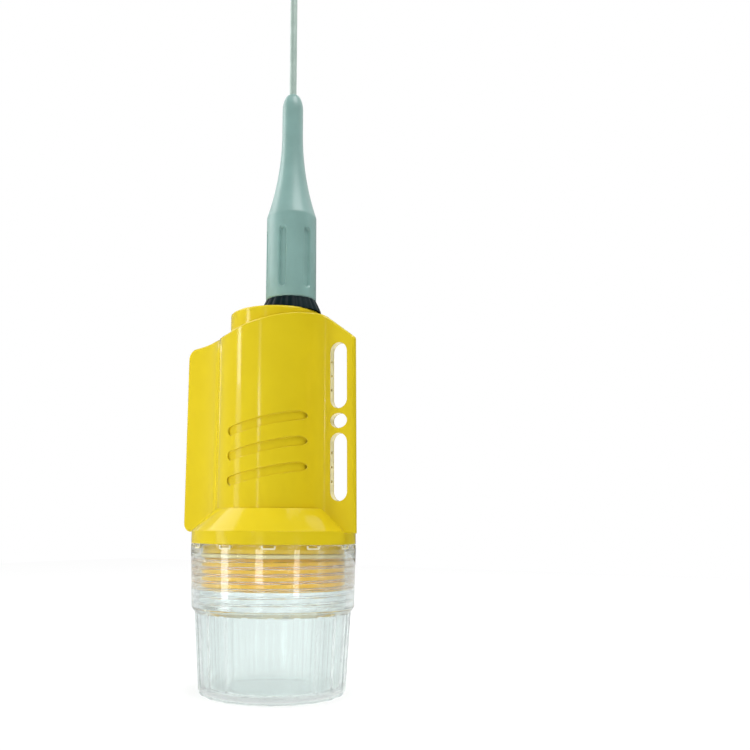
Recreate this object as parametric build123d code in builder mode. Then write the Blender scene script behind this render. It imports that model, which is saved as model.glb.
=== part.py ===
from build123d import *
import os
from math import atan2, degrees, hypot, sqrt

# A floating position beacon for fishing nets, in millimetres, +Z up.
# The origin is the centre of the clear cup's flat bottom; +X points along the slotted fin.

# Clearances between pieces that fit each other
rim_gap = 0.3
fit_gap = 0.2
seal_gap = 0.3

# Clear cup: a wide threaded band above, a narrower tapering grip below
band_top_r = 47.6
band_taper = 1.0
band_h = 34.7
band_wall_t = 5.6
cup_shoulder_w = 2.0
cup_shoulder_h = 2.9
cup_grip_h = 44.5
cup_grip_taper = 3.2
cup_floor_t = 3.8
cup_wall_t = 3.0
cup_edge = 1.8
thread_bore_low = 0.6

# Grip flutes round the cup, and the notches in its top rim
flute_count = 20
flute_w = 9.4
flute_depth = 0.7
flute_start = 4.9
notch_count = 12
notch_w = 7.6
notch_h = 3.2
notch_depth = 1.2

# Inner housing: threaded neck, flange, long tube and flat boss
thread_depth = 2.5
land_gap = 1.0
neck_wall_t = 3.2
neck_h = 25.1
land_h = 7.3
flange_t = 3.5
tube_r = 27.7
tube_wall_t = 2.5
boss_top_z = 218.3
boss_roof_t = 4.0
boss_edge = 1.0

# Seal ring in its groove at the foot of the neck's land
seal_wire_r = 1.15
seal_sides = 8

# Yellow jacket: rim, flare, tube and two fins
jacket_rim_h = 7.1
jacket_wall_t = 3.3
ledge_w = 1.8
flare_h = 12.5
flare_ledge_w = 1.4
jacket_tube_wall_t = 4.6
jacket_x = -2.0
fin_root_half = 2.6
fin_tip_half = 1.9
plain_fin_tip = -66.4
plain_fin_blend_r = 40.0
slotted_fin_tip = 54.0
slotted_fin_blend_r = 9.5
fin_drop = 1.0
fin_foot_r = 5.0
fin_edge = 0.8

# Roof line seen from the side: distance along the fins, height, rounding radius
roof_line = [
    (plain_fin_tip, 203.2, 6.5),
    (-38.0, 206.2, 40.0),
    (-19.0, 202.2, 35.0),
    (32.3, 216.0, 8.0),
    (slotted_fin_tip, 199.3, 3.0),
]

# Tie slots and the oval hole between them, through the slotted fin
slot_x = 44.2
slot_w = 10.8
slot_len = 38.3
slot_middle_z = 151.5
slot_pitch = 52.4
oval_h = 8.6
dimple_r = 0.9
dimple_depth = 1.5
dimple_pitch = 8.2

# Slanted finger grooves: low end height, high end height
groove_rows = [(116.6, 125.7), (130.6, 140.2), (144.7, 154.7)]
groove_low_x = -11.8
groove_high_x = 28.6
groove_w = 5.2
groove_depth = 1.0

# Antenna: ribbed gasket, fluted boot and whip, off the tube's centre
antenna_x = 10.1
gasket_low_r = 18.5
gasket_top_r = 15.3
gasket_h = 7.6
gasket_rib_count = 20
gasket_rib_w = 1.4
gasket_rib_depth = 0.6
boot_r = 15.2
boot_grip_h = 51.7
boot_shoulder_r = 18.2
boot_sweep_r = 180.0
boot_lean = 16.9
boot_top_h = 135.9
boot_nose_h = 9.5
boot_nose_r = 4.4
boot_flute_count = 6
boot_flute_w = 4.8
boot_flute_depth = 1.0
boot_flute_low = 6.1
boot_flute_len = 37.6
boot_flute_start = -78.5
whip_r = 2.2
whip_len = 350.0
whip_socket = 38.0
whip_tip_r = 3.2
whip_tip_len = 12.0
whip_tip_socket = 8.0
whip_tip_edge = 1.2

# Base plate under the neck, with its controls
plate_t = 3.0
plate_recess = 4.0
button_r = 6.0
button_h = 2.4
button_skirt_r = 8.5
button_skirt_h = 1.0
button_x = 14.0
button_edge = 0.6
port_x = -14.0
port_w = 12.0
port_d = 7.0
port_h = 2.6
port_mouth_w = 9.0
port_mouth_d = 3.4
port_mouth_depth = 2.0
lamp_y = 15.0
lamp_r = 2.5
lamp_h = 3.2
lamp_edge = 1.2

# Battery pack: four cells in one block
cell_d = 18.5
cell_len = 66.0

# Radii that follow from the sizes above
band_low_r = band_top_r - band_taper
cup_waist_r = band_low_r - cup_shoulder_w
cup_base_r = cup_waist_r - cup_grip_taper
thread_bore_r = band_top_r - band_wall_t
neck_r = thread_bore_r - thread_depth
neck_land_r = thread_bore_r - land_gap
neck_bore_r = neck_r - neck_wall_t
seal_ring_r = thread_bore_r - seal_gap - seal_wire_r
flange_r = band_top_r - jacket_wall_t
tube_bore_r = tube_r - tube_wall_t
jacket_bore_r = tube_r + fit_gap
jacket_r = jacket_bore_r + jacket_tube_wall_t
flare_top_r = jacket_r + flare_ledge_w

# Heights that follow from the sizes above
band_foot_z = cup_grip_h + cup_shoulder_h
cup_top_z = band_foot_z + band_h
seat_z = cup_top_z + rim_gap
neck_foot_z = seat_z - neck_h
flange_top_z = seat_z + flange_t
land_foot_z = seat_z - land_h
seal_z = land_foot_z + seal_wire_r - fit_gap
jacket_rim_z = seat_z + jacket_rim_h
fin_foot_z = jacket_rim_z - fin_drop
flare_top_z = jacket_rim_z + flare_h
flare_slope = flare_h / (band_top_r - flare_top_r)
bore_foot_z = flange_top_z + (flange_r - ledge_w - jacket_bore_r) * flare_slope
jacket_top_z = max(height for _, height, _ in roof_line) + 1
plate_foot_z = neck_foot_z + plate_recess
plate_top_z = plate_foot_z + plate_t
boot_foot_z = boss_top_z + gasket_h
boot_top_z = boot_foot_z + boot_top_h
whip_foot_z = boot_top_z - whip_socket
whip_top_z = whip_foot_z + whip_len
upper_slot_z = slot_middle_z + slot_pitch / 2
lower_slot_z = slot_middle_z - slot_pitch / 2
dimple_places = [
    (0, slot_z + step * dimple_pitch)
    for slot_z in (upper_slot_z, lower_slot_z)
    for step in (-1, 0, 1)
]


def slot_frustum(inner_low, inner_top, low_z, top_z, width, outer):
    """Radial cutter whose inner face leans with a tapering wall."""
    with BuildPart(mode=Mode.PRIVATE) as cutter:
        with BuildSketch(Plane.XZ):
            Polygon(
                (inner_low, low_z), (outer, low_z), (outer, top_z), (inner_top, top_z),
                align=None,
            )
        extrude(amount=width / 2, both=True)
    return cutter.part


def fin_outline(reach, blend_r):
    """Points of one fin's flank and blend, measured outwards from the jacket's axis.

    The flank is a straight line from the tip to the root. A concave arc tangent to
    the flank and to the round jacket joins them.
    """
    slope = (fin_root_half - fin_tip_half) / (reach - jacket_r)
    along = Vector(1, -slope).normalized()
    normal = Vector(slope, 1).normalized()
    flank_distance = normal.dot(Vector(reach, fin_tip_half))
    slide = sqrt((jacket_r + blend_r) ** 2 - (flank_distance + blend_r) ** 2)
    flank_end = normal * flank_distance + along * slide
    centre = flank_end + normal * blend_r
    jacket_end = centre * (jacket_r / (jacket_r + blend_r))
    middle = centre + ((flank_end + jacket_end) * 0.5 - centre).normalized() * blend_r
    return [Vector(reach, 0), Vector(reach, fin_tip_half), flank_end, middle, jacket_end]


def along_x(point, side):
    """Place an outline point on the +X or -X side of the jacket."""
    return Vector(jacket_x + side * point.X, point.Y)


# Clear cup
with BuildPart() as clear_cup:
    with BuildSketch(Plane.XZ):
        Polygon(
            (0, 0),
            (cup_base_r, 0),
            (cup_waist_r, cup_grip_h),
            (band_low_r, band_foot_z),
            (band_top_r, cup_top_z),
            (thread_bore_r, cup_top_z),
            (thread_bore_r, band_foot_z + thread_bore_low),
            (cup_waist_r - cup_wall_t, cup_grip_h),
            (cup_base_r - cup_wall_t, cup_floor_t),
            (0, cup_floor_t),
            align=None,
        )
    revolve(axis=Axis.Z)
    chamfer(clear_cup.edges().filter_by(GeomType.CIRCLE).group_by(Axis.Z)[0], cup_edge)
    flute_slope = cup_grip_taper / cup_grip_h
    flute_cutter = slot_frustum(
        cup_base_r - flute_depth - flute_slope, cup_waist_r - flute_depth,
        -1.0, cup_grip_h, flute_w, band_top_r,
    )
    with PolarLocations(0, flute_count, start_angle=flute_start):
        add(flute_cutter, mode=Mode.SUBTRACT)
    notch_cutter = slot_frustum(
        band_top_r - notch_depth, band_top_r - notch_depth,
        cup_top_z - notch_h, cup_top_z + notch_h, notch_w, band_top_r + notch_depth,
    )
    with PolarLocations(0, notch_count):
        add(notch_cutter, mode=Mode.SUBTRACT)
clear_cup.part.label = "clear_cup"


# Seal ring
with BuildPart() as seal_ring:
    with BuildSketch(Plane.XZ):
        with Locations((seal_ring_r, seal_z)):
            RegularPolygon(seal_wire_r, seal_sides, major_radius=False, rotation=180 / seal_sides)
    revolve(axis=Axis.Z)
seal_ring.part.label = "seal_ring"


# Inner housing
with BuildPart() as inner_housing:
    seal_groove_r = seal_ring_r - seal_wire_r - seal_gap
    seal_groove_low = seal_z - seal_wire_r - fit_gap
    seal_groove_top = seal_z + seal_wire_r + fit_gap
    with BuildSketch(Plane.XZ):
        Polygon(
            (neck_bore_r, neck_foot_z),
            (neck_r, neck_foot_z),
            (neck_r, seal_groove_low),
            (seal_groove_r, seal_groove_low),
            (seal_groove_r, seal_groove_top),
            (neck_land_r, seal_groove_top),
            (neck_land_r, seat_z),
            (flange_r, seat_z),
            (flange_r, flange_top_z),
            (tube_r, flange_top_z),
            (tube_r, boss_top_z),
            (0, boss_top_z),
            (0, boss_top_z - boss_roof_t),
            (tube_bore_r, boss_top_z - boss_roof_t),
            (tube_bore_r, seat_z),
            (neck_bore_r, seat_z - (neck_bore_r - tube_bore_r) / 2),
            align=None,
        )
    revolve(axis=Axis.Z)
    boss_rim = inner_housing.edges().filter_by(GeomType.CIRCLE).group_by(Axis.Z)[-1]
    chamfer(boss_rim, boss_edge)
inner_housing.part.label = "inner_housing"


# Yellow jacket with its two fins
plain = [along_x(point, -1) for point in fin_outline(jacket_x - plain_fin_tip, plain_fin_blend_r)]
slotted = [along_x(point, 1) for point in fin_outline(slotted_fin_tip - jacket_x, slotted_fin_blend_r)]

with BuildPart() as fin_shell:
    with BuildSketch(Plane.XY.offset(fin_foot_z)) as plan:
        with BuildLine():
            Line(plain[0], plain[1])
            Line(plain[1], plain[2])
            ThreePointArc(plain[2], plain[3], plain[4])
            ThreePointArc(plain[4], (jacket_x, jacket_r), slotted[4])
            ThreePointArc(slotted[4], slotted[3], slotted[2])
            Line(slotted[2], slotted[1])
            Line(slotted[1], slotted[0])
            Line(slotted[0], plain[0])
        make_face()
        mirror(about=Plane.XZ)
    extrude(amount=jacket_top_z - fin_foot_z)
    with BuildSketch(Plane.XZ) as side:
        Polygon(
            (plain_fin_tip, fin_foot_z),
            *[(x, z) for x, z, _ in roof_line],
            (slotted_fin_tip, fin_foot_z),
            align=None,
        )
        for x, z, radius in [(plain_fin_tip, fin_foot_z, fin_foot_r), *roof_line]:
            fillet(side.vertices().sort_by_distance((x, z))[0], radius)
    extrude(amount=jacket_r * 2, both=True, mode=Mode.INTERSECT)

    # Bevel along the roof, which runs on round the fins' tips
    roof_edges = fin_shell.edges().filter_by(
        lambda edge: edge.center().Z > upper_slot_z and abs((edge % 0.5).X) > fin_edge / jacket_r
    )
    chamfer(roof_edges, fin_edge)

    # Rim and flare, coaxial with the cup
    with BuildSketch(Plane.XZ):
        Polygon(
            (0, seat_z),
            (band_top_r, seat_z),
            (band_top_r, jacket_rim_z),
            (flare_top_r, flare_top_z),
            (0, flare_top_z),
            align=None,
        )
    revolve(axis=Axis.Z)

    # Recess for the flange and bore for the housing's tube
    with BuildSketch(Plane.XZ):
        Polygon(
            (0, seat_z),
            (flange_r + fit_gap, seat_z),
            (flange_r + fit_gap, flange_top_z),
            (flange_r - ledge_w, flange_top_z),
            (jacket_bore_r, bore_foot_z),
            (jacket_bore_r, jacket_top_z),
            (0, jacket_top_z),
            align=None,
        )
    revolve(axis=Axis.Z, mode=Mode.SUBTRACT)

    # Tie slots and oval hole
    with BuildSketch(Plane.XZ):
        with Locations((slot_x, upper_slot_z), (slot_x, lower_slot_z)):
            SlotOverall(slot_len, slot_w, rotation=90)
        with Locations((slot_x, slot_middle_z)):
            Ellipse(slot_w / 2, oval_h / 2)
    extrude(amount=fin_root_half * 2, both=True, mode=Mode.SUBTRACT)

    # Dimples in the slots' inner walls
    with BuildSketch(Plane.YZ.offset(slot_x - slot_w / 2)):
        with Locations(*dimple_places):
            Circle(dimple_r)
    extrude(amount=-dimple_depth, mode=Mode.SUBTRACT)

    # Finger grooves on both faces of the tube
    with BuildPart(mode=Mode.PRIVATE) as grooves:
        with BuildSketch(Plane.XZ):
            for low_z, high_z in groove_rows:
                rise = high_z - low_z
                run = groove_high_x - groove_low_x
                with Locations(((groove_low_x + groove_high_x) / 2, (low_z + high_z) / 2)):
                    SlotCenterToCenter(hypot(run, rise) - groove_w, groove_w, rotation=degrees(atan2(rise, run)))
        extrude(amount=jacket_r * 2, both=True)
        with Locations((jacket_x, 0, 0)):
            Cylinder(
                jacket_r - groove_depth, jacket_top_z,
                align=(Align.CENTER, Align.CENTER, Align.MIN), mode=Mode.SUBTRACT,
            )
    add(grooves.part, mode=Mode.SUBTRACT)
fin_shell.part.label = "fin_shell"


# Ribbed gasket under the antenna
with BuildPart() as antenna_gasket:
    with BuildSketch(Plane.XY.offset(boss_top_z)):
        with Locations((antenna_x, 0)):
            Circle(gasket_low_r)
    with BuildSketch(Plane.XY.offset(boot_foot_z)):
        with Locations((antenna_x, 0)):
            Circle(gasket_top_r)
    loft()
    lean = (gasket_low_r - gasket_top_r) / gasket_h
    cutter = slot_frustum(
        gasket_low_r - gasket_rib_depth + lean, gasket_top_r - gasket_rib_depth,
        boss_top_z - 1, boot_foot_z, gasket_rib_w, gasket_low_r * 2,
    )
    with Locations((antenna_x, 0, 0)):
        with PolarLocations(0, gasket_rib_count):
            add(cutter, mode=Mode.SUBTRACT)
antenna_gasket.part.label = "antenna_gasket"


# Fluted boot: a straight grip, a round shoulder, a long hollow sweep and a bullet nose
with BuildPart() as antenna_boot:
    with BuildSketch(Plane.XZ):
        with BuildLine():
            foot = Line((antenna_x, boot_foot_z), (antenna_x + boot_r, boot_foot_z))
            grip = Line(foot @ 1, foot @ 1 + Vector(0, boot_grip_h))
            shoulder = JernArc(grip @ 1, grip % 1, boot_shoulder_r, boot_lean)
            sweep = JernArc(shoulder @ 1, shoulder % 1, boot_sweep_r, -boot_lean)
            neck = Line(sweep @ 1, Vector((sweep @ 1).X, boot_top_z - boot_nose_h))
            nose = TangentArc(neck @ 1, (antenna_x + boot_nose_r, boot_top_z), tangent=(0, 1))
            top = Line(nose @ 1, (antenna_x, boot_top_z))
            Line(top @ 1, foot @ 0)
        make_face()
    revolve(axis=Axis((antenna_x, 0, 0), (0, 0, 1)))
    with BuildPart(mode=Mode.PRIVATE) as boot_flute:
        with BuildSketch(Plane.YZ.offset(boot_r - boot_flute_depth)):
            with Locations((0, boot_foot_z + boot_flute_low + boot_flute_len / 2)):
                SlotOverall(boot_flute_len, boot_flute_w, rotation=90)
        extrude(amount=boot_flute_depth * 2)
    with Locations((antenna_x, 0, 0)):
        with PolarLocations(0, boot_flute_count, start_angle=boot_flute_start):
            add(boot_flute.part, mode=Mode.SUBTRACT)
    with Locations((antenna_x, 0, whip_foot_z)):
        Cylinder(
            whip_r + fit_gap / 2, whip_socket,
            align=(Align.CENTER, Align.CENTER, Align.MIN), mode=Mode.SUBTRACT,
        )
antenna_boot.part.label = "antenna_boot"


# Whip and its end cap
with BuildPart() as whip_rod:
    with Locations((antenna_x, 0, whip_foot_z)):
        Cylinder(whip_r, whip_len, align=(Align.CENTER, Align.CENTER, Align.MIN))
whip_rod.part.label = "whip_rod"

with BuildPart() as whip_tip:
    with Locations((antenna_x, 0, whip_top_z - whip_tip_socket)):
        Cylinder(whip_tip_r, whip_tip_len, align=(Align.CENTER, Align.CENTER, Align.MIN))
        chamfer(whip_tip.edges().group_by(Axis.Z)[-1], whip_tip_edge)
        Cylinder(
            whip_r + fit_gap / 2, whip_tip_socket,
            align=(Align.CENTER, Align.CENTER, Align.MIN), mode=Mode.SUBTRACT,
        )
whip_tip.part.label = "whip_tip"


# Base plate inside the neck's foot
with BuildPart() as base_plate:
    with BuildSketch(Plane.XY.offset(plate_foot_z)):
        Circle(neck_bore_r - fit_gap)
    extrude(amount=plate_t)
base_plate.part.label = "base_plate"

with BuildPart() as power_button:
    with BuildSketch(Plane.XY.offset(plate_foot_z - button_skirt_h)):
        with Locations((button_x, 0)):
            Circle(button_skirt_r)
    extrude(amount=button_skirt_h)
    with BuildSketch(Plane.XY.offset(plate_foot_z - button_h)):
        with Locations((button_x, 0)):
            Circle(button_r)
    extrude(amount=button_h)
    chamfer(power_button.edges().group_by(Axis.Z)[0], button_edge)
power_button.part.label = "power_button"

with BuildPart() as charge_socket:
    with BuildSketch(Plane.XY.offset(plate_foot_z - port_h)):
        with Locations((port_x, 0)):
            RectangleRounded(port_w, port_d, port_d / 2 - fit_gap)
    extrude(amount=port_h)
    with BuildSketch(Plane.XY.offset(plate_foot_z - port_h)):
        with Locations((port_x, 0)):
            RectangleRounded(port_mouth_w, port_mouth_d, port_mouth_d / 2 - fit_gap)
    extrude(amount=port_mouth_depth, mode=Mode.SUBTRACT)
charge_socket.part.label = "charge_socket"

with BuildPart() as status_lamp:
    with BuildSketch(Plane.XY.offset(plate_foot_z - lamp_h)):
        with Locations((0, lamp_y)):
            Circle(lamp_r)
    extrude(amount=lamp_h)
    chamfer(status_lamp.edges().group_by(Axis.Z)[0], lamp_edge)
status_lamp.part.label = "status_lamp"


# Battery pack standing on the base plate
with BuildPart() as battery_block:
    with BuildSketch(Plane.XY.offset(plate_top_z)):
        RectangleRounded(2 * cell_d, 2 * cell_d, cell_d / 2)
    extrude(amount=cell_len)
battery_block.part.label = "battery_block"


os.makedirs("parts", exist_ok=True)
for piece in (
    clear_cup, seal_ring, inner_housing, fin_shell, antenna_gasket, antenna_boot,
    whip_rod, whip_tip, base_plate, power_button, charge_socket, status_lamp, battery_block,
):
    export_step(piece.part, f"parts/{piece.part.label}.step")
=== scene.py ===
from math import cos, pi, radians, sin

import bpy
import numpy as np
from mathutils import Matrix, Vector


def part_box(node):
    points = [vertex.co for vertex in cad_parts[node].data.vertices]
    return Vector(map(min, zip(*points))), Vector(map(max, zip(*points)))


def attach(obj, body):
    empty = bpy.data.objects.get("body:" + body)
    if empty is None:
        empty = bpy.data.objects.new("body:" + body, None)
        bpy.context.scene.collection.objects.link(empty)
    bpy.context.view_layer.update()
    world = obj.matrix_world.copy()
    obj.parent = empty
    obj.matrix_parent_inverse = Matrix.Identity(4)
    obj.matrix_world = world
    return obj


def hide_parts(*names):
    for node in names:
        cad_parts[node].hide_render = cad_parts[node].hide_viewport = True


bl_info = {
    "name": "Net Beacon Dressing",
    "version": (1, 0, 0),
    "blender": (4, 5, 0),
    "location": "View3D > Sidebar > Net Beacon",
    "description": "Dresses a packed net beacon: cup, threads, boot, whip, finishes and studio",
    "category": "Object",
}

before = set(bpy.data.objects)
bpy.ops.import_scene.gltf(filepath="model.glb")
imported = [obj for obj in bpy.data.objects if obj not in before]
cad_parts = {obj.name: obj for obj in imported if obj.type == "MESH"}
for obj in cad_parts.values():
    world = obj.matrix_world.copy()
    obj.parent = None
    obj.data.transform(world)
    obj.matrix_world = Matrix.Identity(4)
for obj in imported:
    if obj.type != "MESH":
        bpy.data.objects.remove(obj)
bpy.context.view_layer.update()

MM = 0.001
TURN = 2 * pi

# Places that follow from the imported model, in metres
seal_low, seal_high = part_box("seal_ring")
gasket_low, gasket_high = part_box("antenna_gasket")
boot_low, boot_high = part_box("antenna_boot")
rod_low, rod_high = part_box("whip_rod")
tip_low, tip_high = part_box("whip_tip")
plate_low, plate_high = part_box("base_plate")
band_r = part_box("fin_shell")[1].y
cup_top_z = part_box("clear_cup")[1].z
neck_foot_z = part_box("inner_housing")[0].z
antenna_x = (boot_low.x + boot_high.x) / 2
whip_r = (rod_high.x - rod_low.x) / 2


# Colours and the node helper


def linear(code):
    """Turn an sRGB hex code into the linear red, green and blue that shaders use."""
    parts = np.array([int(code[i:i + 2], 16) for i in (0, 2, 4)]) / 255
    curve = ((parts + 0.055) / 1.055) ** 2.4
    return tuple(np.where(parts <= 0.04045, parts / 12.92, curve).tolist())


def add_node(tree, kind, settings=None, links=None):
    """Add one shader node, fill its sockets or properties, and join its inputs to other outputs."""
    node = tree.nodes.new(kind)
    for name, value in (settings or {}).items():
        if isinstance(name, int) or name in node.inputs:
            lacks_alpha = node.inputs[name].type == "RGBA" and len(value) == 3
            node.inputs[name].default_value = (*value, 1) if lacks_alpha else value
        else:
            setattr(node, name, value)
    for name, output in (links or {}).items():
        tree.links.new(output, node.inputs[name])
    return node


def new_material(name):
    """Make an empty node material; return it, its tree and the coordinates of its object."""
    material = bpy.data.materials.new(name)
    material.use_nodes = True
    tree = material.node_tree
    tree.nodes.clear()
    return material, tree, add_node(tree, "ShaderNodeTexCoord").outputs["Object"]


def finished(material, surface):
    """Join the shader of the surface to a material's output, and return the material."""
    add_node(material.node_tree, "ShaderNodeOutputMaterial", None, {"Surface": surface})
    return material


def wear(target, material):
    """Give an object one material on all its faces."""
    target.data.materials.clear()
    target.data.materials.append(material)


# Surfaces worked out on a grid


# Points closer than this, in metres, are one
same_point = 1e-9


def grid_piece(name, points, close_columns=True, sharp_above=None):
    """Make a mesh object from points[row, column, xyz].

    Neighbouring rows and columns are joined by four-sided faces, with the last column joined
    to the first. A first or last row whose points all coincide becomes one pole with a fan.
    The shading is smooth, but for edges steeper than an angle in degrees.
    """
    rows, columns, _ = points.shape
    index = np.arange(rows * columns).reshape(rows, columns)
    spread = np.ptp(points, axis=1).max(axis=1)
    for row in (0, rows - 1):
        if spread[row] < same_point:
            index[row] = index[row, 0]
    after = np.roll(index, -1, axis=1) if close_columns else index[:, 1:]
    before = index if close_columns else index[:, :-1]
    quads = np.stack([before[:-1], after[:-1], after[1:], before[1:]], axis=-1).reshape(-1, 4)
    used, flat = np.unique(quads, return_inverse=True)
    quads = flat.reshape(-1, 4)
    top_fan = quads[:, 0] == quads[:, 1]
    end_fan = quads[:, 2] == quads[:, 3]
    faces = quads[~(top_fan | end_fan)].tolist()
    faces += quads[top_fan][:, [0, 2, 3]].tolist()
    faces += quads[end_fan][:, [0, 1, 2]].tolist()
    mesh = bpy.data.meshes.new(name)
    mesh.from_pydata(points.reshape(-1, 3)[used].tolist(), [], faces)
    mesh.validate()
    mesh.shade_smooth()
    if sharp_above is not None:
        mesh.set_sharp_from_angle(angle=radians(sharp_above))
    piece = bpy.data.objects.new(name, mesh)
    bpy.context.collection.objects.link(piece)
    return piece


def turned(radius, height, angles, axis_x=0.0, axis_y=0.0):
    """Points of a form turned round a Z axis, from radius and height at its rows or grid points.

    x = axis_x + r cos(angle), y = axis_y + r sin(angle), z = height.
    """
    shape = (len(radius), len(angles))
    radius, height = (
        np.broadcast_to(value if value.ndim == 2 else value[:, None], shape)
        for value in (radius, height)
    )
    return np.stack([
        axis_x + radius * np.cos(angles), axis_y + radius * np.sin(angles), height,
    ], axis=-1)


def round_the_axis(rows, angles):
    """Radius and height at every grid point, for a profile that is the same at each angle."""
    return np.repeat(rows[:, :1], len(angles), axis=1), np.repeat(rows[:, 1:], len(angles), axis=1)


def even_angles(count):
    """Equal steps round the full turn, without the last one, which is the first again."""
    return np.arange(count) * TURN / count


def arc_rows(centre_r, centre_z, radius, start, end, count):
    """Radius and height of count points on an arc of a profile, angles in degrees from outwards."""
    turn = np.radians(np.linspace(start, end, count))
    return np.stack([centre_r + radius * np.cos(turn), centre_z + radius * np.sin(turn)], axis=-1)


def run_rows(start, end, count):
    """Radius and height of count points on a straight run of a profile, ends included."""
    return np.linspace(start, end, count)


def smooth_step(value, low, high):
    """Zero below low, one above high, and a cubic ease between them."""
    share = np.clip((value - low) / (high - low), 0, 1)
    return share * share * (3 - 2 * share)


def thread_ridge(angles, height, pitch, start_z, crest, flank):
    """Height, from 0 to 1, of a right-hand thread that climbs one pitch a turn.

    The distance from the crest's middle is measured in pitches. It is full within half the
    crest's share and falls to nothing over the flank's share with a cubic ease.
    """
    phase = (height - start_z) / pitch - angles / TURN
    away = np.abs((phase + 0.5) % 1.0 - 0.5)
    return 1 - smooth_step(away, crest / 2, crest / 2 + flank)


def round_distance(angles, count, start):
    """Signed angle from the middle of the nearest of count equal divisions."""
    step = TURN / count
    return (angles - start + step / 2) % step - step / 2


# Finishes


def noise_bump(tree, object_coordinates, size_mm, height_mm, below=None):
    """Normals of soft noise, with its grain and depth in millimetres, over the normals below it."""
    noise = add_node(
        tree, "ShaderNodeTexNoise", {"Scale": 1 / (size_mm * MM)}, {"Vector": object_coordinates},
    )
    links = {"Height": noise.outputs["Fac"]}
    if below is not None:
        links["Normal"] = below
    return add_node(
        tree, "ShaderNodeBump", {"Distance": height_mm * MM}, links,
    ).outputs["Normal"]


def soft_edges(tree, radius_mm):
    """Normals that turn round sharp edges as over a small moulded radius."""
    return add_node(
        tree, "ShaderNodeBevel", {"samples": 6, "Radius": radius_mm * MM},
    ).outputs["Normal"]


# Where in the noise the deeper shade ends and the lighter one begins
shade_low, shade_high = 0.35, 0.65


def mottled(tree, object_coordinates, dark, light, size_mm):
    """Two close shades of one colour, mixed by soft noise of a size in millimetres."""
    noise = add_node(
        tree, "ShaderNodeTexNoise",
        {"Scale": 1 / (size_mm * MM), "Detail": 3.0, "Roughness": 0.55},
        {"Vector": object_coordinates},
    )
    ramp = add_node(tree, "ShaderNodeValToRGB", None, {"Fac": noise.outputs["Fac"]})
    ramp.color_ramp.elements[0].position = shade_low
    ramp.color_ramp.elements[0].color = (*dark, 1)
    ramp.color_ramp.elements[1].position = shade_high
    ramp.color_ramp.elements[1].color = (*light, 1)
    return ramp.outputs["Color"]


# Share of the view that passes the clear walls unbent
straight_share = 0.25


def clear_polycarbonate(tint):
    """Injection-moulded clear polycarbonate: high gloss, strong bending of light, cool grey body.

    Lamps shine through it, so that what stands inside is lit as in the open, and a share of
    the view passes straight, as through the soft, well polished walls of the moulding.
    """
    material, tree, place = new_material("clear_polycarbonate")
    flow = noise_bump(tree, place, size_mm=14.0, height_mm=0.02)
    body = add_node(
        tree, "ShaderNodeBsdfPrincipled",
        {"Base Color": tint, "Roughness": 0.03, "IOR": 1.585, "Transmission Weight": 1.0},
        {"Normal": flow},
    )
    open_film = add_node(tree, "ShaderNodeBsdfTransparent", {"Color": tint})
    ray = add_node(tree, "ShaderNodeLightPath")
    openness = add_node(
        tree, "ShaderNodeMapRange", {"To Min": straight_share, "To Max": 1.0},
        {"Value": ray.outputs["Is Shadow Ray"]},
    )
    mix = add_node(
        tree, "ShaderNodeMixShader", None,
        {"Fac": openness.outputs["Result"], 1: body.outputs["BSDF"], 2: open_film.outputs["BSDF"]},
    )
    return finished(material, mix.outputs["Shader"])


def inside_block(tree, object_coordinates, middle, half_size):
    """1 inside a block and 0 outside it, from the block's middle and half sizes."""
    parts = add_node(tree, "ShaderNodeSeparateXYZ", None, {"Vector": object_coordinates})
    inside = [
        add_node(
            tree, "ShaderNodeMath", {"operation": "COMPARE", 1: centre, 2: half},
            {0: parts.outputs[axis]},
        ).outputs["Value"]
        for axis, centre, half in zip("XYZ", middle, half_size)
    ]
    share = inside[0]
    for other in inside[1:]:
        share = add_node(
            tree, "ShaderNodeMath", {"operation": "MULTIPLY"}, {0: share, 1: other},
        ).outputs["Value"]
    return share


# Block that holds the walls of the tie slots and not the faces of their fin, where the painted
# highlight goes
slot_block_middle = (44.2 * MM, 0.0, 151.5 * MM)
slot_block_half = (6.0 * MM, 1.9 * MM, 46.0 * MM)


def glossy_abs(name, dark, light, roughness, edge_mm=0.6, slot_wall_highlight=None):
    """Glossy injection-moulded ABS: full mould polish, faint sink waves, a little colour drift.

    Where a painted highlight for the slots' walls is given, the block between the fin's faces has
    it.
    """
    material, tree, place = new_material(name)
    edges = soft_edges(tree, edge_mm)
    waves = noise_bump(tree, place, size_mm=22.0, height_mm=0.02, below=edges)
    skin = noise_bump(tree, place, size_mm=0.9, height_mm=0.002, below=waves)
    colour = mottled(tree, place, dark, light, size_mm=35.0)
    # The slots' walls get a pale colour that paints a highlight on them, where the lamps leave them
    # darker
    if slot_wall_highlight:
        walls = inside_block(tree, place, slot_block_middle, slot_block_half)
        colour = add_node(
            tree, "ShaderNodeMixRGB", {"Color2": slot_wall_highlight}, {"Fac": walls, "Color1": colour},
        ).outputs["Color"]
    body = add_node(
        tree, "ShaderNodeBsdfPrincipled",
        {"Roughness": roughness, "IOR": 1.5, "Specular IOR Level": 0.25},
        {"Base Color": colour, "Normal": skin},
    )
    return finished(material, body.outputs["BSDF"])


amber_fade = 1 * MM


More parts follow.
